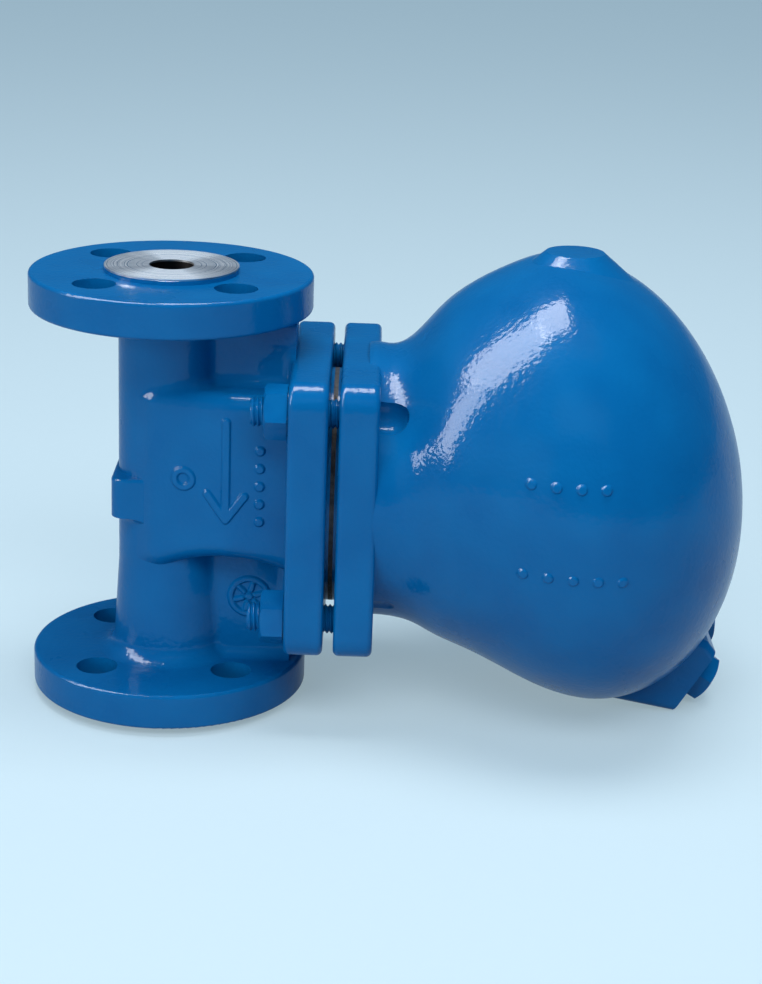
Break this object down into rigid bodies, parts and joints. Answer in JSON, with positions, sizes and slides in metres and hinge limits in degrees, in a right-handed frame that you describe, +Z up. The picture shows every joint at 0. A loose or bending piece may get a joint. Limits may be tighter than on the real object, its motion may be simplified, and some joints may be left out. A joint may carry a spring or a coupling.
{
  "type": "steam trap",
  "caption": "Flanged ball float steam trap for a vertical pipe: tube with round flanges, square bolted joint and a pear-shaped float hood on its side.",
  "frame": {"origin": "centre of the outlet flange's raised face, at the bottom of the pipe line", "axes": "+Z up along the pipe from the outlet flange to the inlet flange, +X towards the float hood, +Y across the hood on the side of the balance plug"},
  "size_m": [0.2437, 0.1508, 0.1594],
  "materials": {
    "enamel": "glossy blue enamel over cast iron, fasteners and plugs painted with it",
    "stainless": "turned and pressed stainless steel",
    "cast_stainless": "blasted stainless casting with machined faces",
    "gasket": "graphite sheet",
    "ring_copper": "soft copper"
  },
  "bodies": {
    "trap": {"body": "enamel", "hood": "enamel", "hood_gasket": "gasket", "hood_studs": "enamel", "hood_nuts": "enamel", "drain_plug": "enamel", "drain_plug_ring": "ring_copper", "balance_plug": "enamel", "balance_plug_ring": "ring_copper", "carrier_gasket": "gasket", "control_carrier": "cast_stainless", "carrier_screws": "stainless", "valve_seat": "stainless", "valve_seat_ring": "ring_copper", "pivot_pin": "stainless", "pivot_clips": "stainless", "vent_seat": "stainless", "vent_cage": "stainless", "vent_snap_ring": "stainless", "vent_capsule_front": "stainless", "vent_capsule_back": "stainless", "vent_channel_plug": "stainless"},
    "float_lever": {"valve_lever": "stainless", "valve_ball": "stainless", "float_rod": "stainless", "float_locknut": "stainless", "float_socket": "stainless", "float_shell_inner": "stainless", "float_shell_outer": "stainless", "float_weld": "stainless"},
    "vent_valve": {"vent_membrane": "stainless", "vent_plug": "stainless"}
  },
  "joints": [
    {"name": "float_hinge", "type": "hinge", "parent": "trap", "child": "float_lever", "pos_m": [0.0802, 0, 0.071], "axis": [0, -1, 0], "range_deg": [0, 22]},
    {"name": "vent_slide", "type": "slide", "parent": "trap", "child": "vent_valve", "axis": [-1, 0, 0], "range_m": [0, 0.0008], "stiffness_N_per_m": 500}
  ]
}
